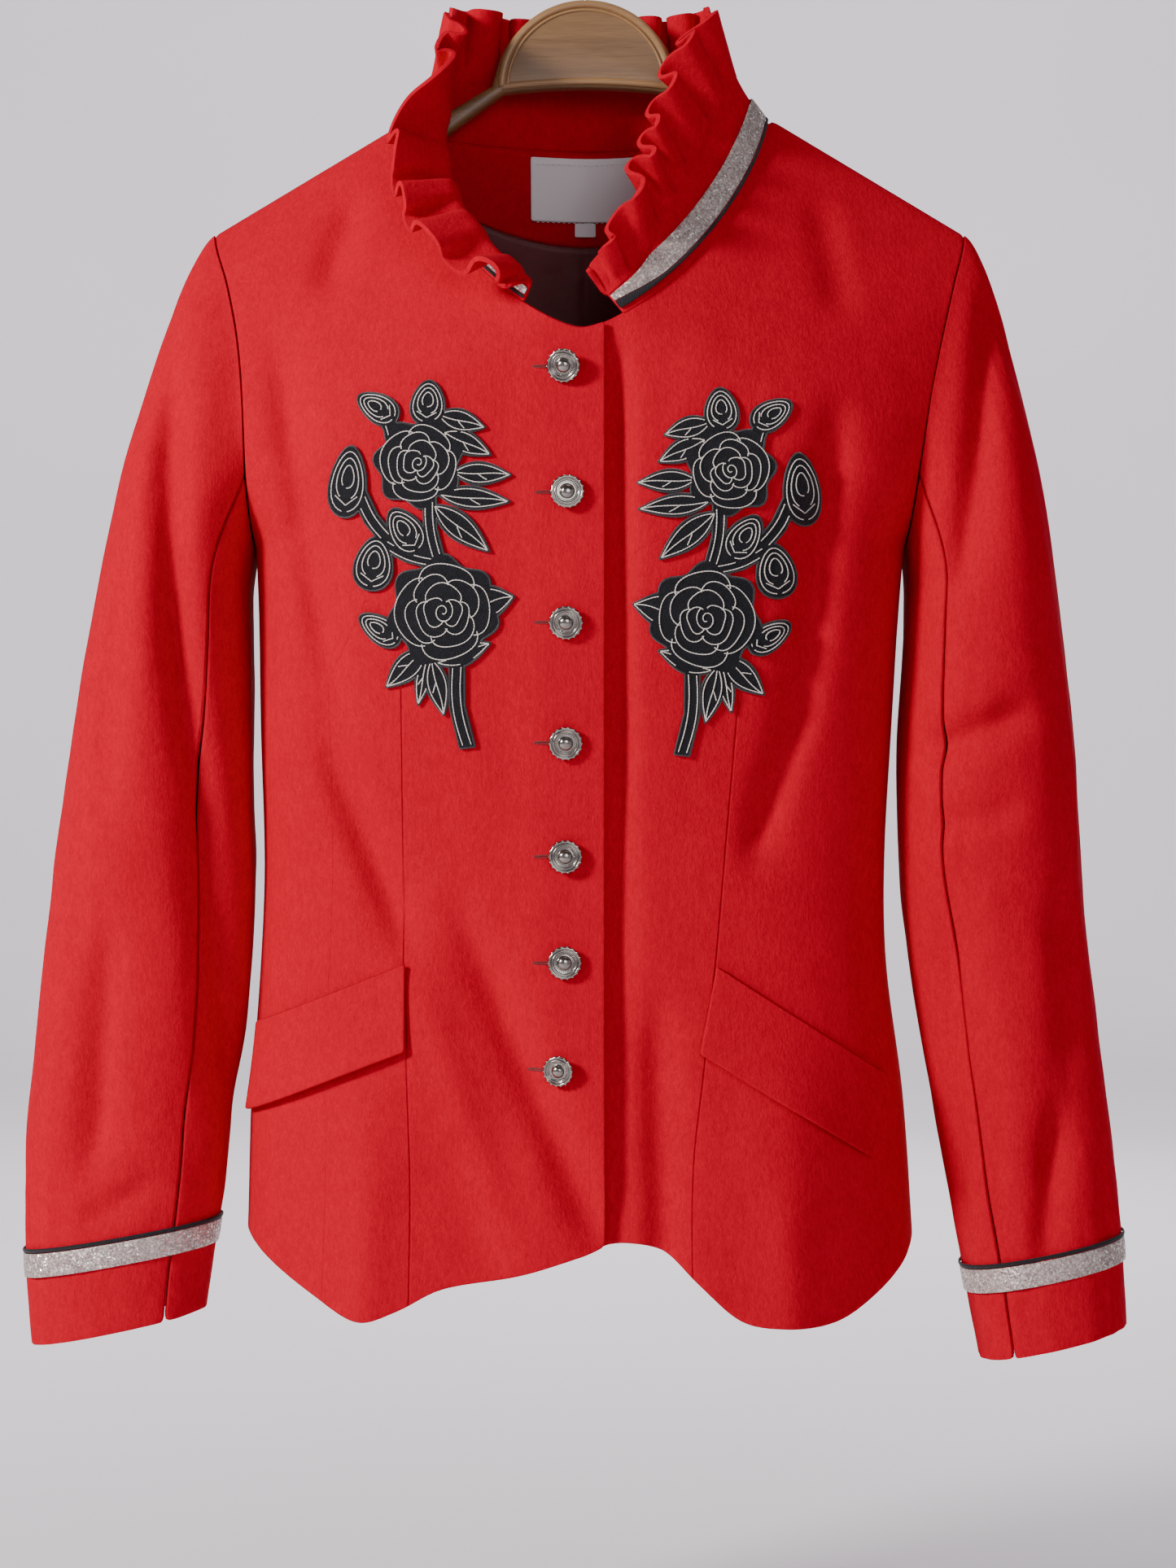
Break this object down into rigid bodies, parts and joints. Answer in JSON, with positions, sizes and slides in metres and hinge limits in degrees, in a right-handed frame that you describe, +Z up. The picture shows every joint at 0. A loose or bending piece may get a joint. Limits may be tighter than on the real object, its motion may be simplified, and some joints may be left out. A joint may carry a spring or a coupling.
{
  "type": "embroidered jacket on a clothes hanger",
  "caption": "Fitted wool jacket with ruffled stand collar, ribbon trim, flower applique and metal buttons, on a wooden hanger",
  "frame": {"origin": "inner crown of the hanger's hook, where it hangs on a rail", "axes": "+Z up, the jacket's front faces -Y, +X to the right of someone who looks at the front"},
  "size_m": [0.6093, 0.1809, 0.8424],
  "materials": {
    "wool": "matte",
    "silver_ribbon": "satin",
    "black_braid": "satin",
    "black_applique": "satin",
    "antique_metal": "antique",
    "lining": "satin",
    "label_cloth": "satin",
    "hanger_wood": "satin",
    "hook_steel": "polished"
  },
  "bodies": {
    "root": {"front_right": "wool", "front_left": "wool", "back": "wool", "top_sleeve_right": "wool", "under_sleeve_right": "wool", "top_sleeve_left": "wool", "under_sleeve_left": "wool", "collar_stand": "wool", "collar_ruffle": "wool", "collar_ribbon": "silver_ribbon", "collar_braid": "black_braid", "cuff_ribbon_right": "silver_ribbon", "cuff_ribbon_left": "silver_ribbon", "cuff_braid_right": "black_braid", "cuff_braid_left": "black_braid", "pocket_flap_right": "wool", "pocket_flap_left": "wool", "rose_patch_right": "black_applique", "rose_patch_left": "black_applique", "button_1": "antique_metal", "button_2": "antique_metal", "button_3": "antique_metal", "button_4": "antique_metal", "button_5": "antique_metal", "button_6": "antique_metal", "button_7": "antique_metal", "back_facing": "wool", "back_lining": "lining", "label": "label_cloth", "size_tab": "label_cloth", "hanger_body": "hanger_wood", "hanger_rim": "hanger_wood", "hanger_hook": "hook_steel"}
  },
  "joints": []
}
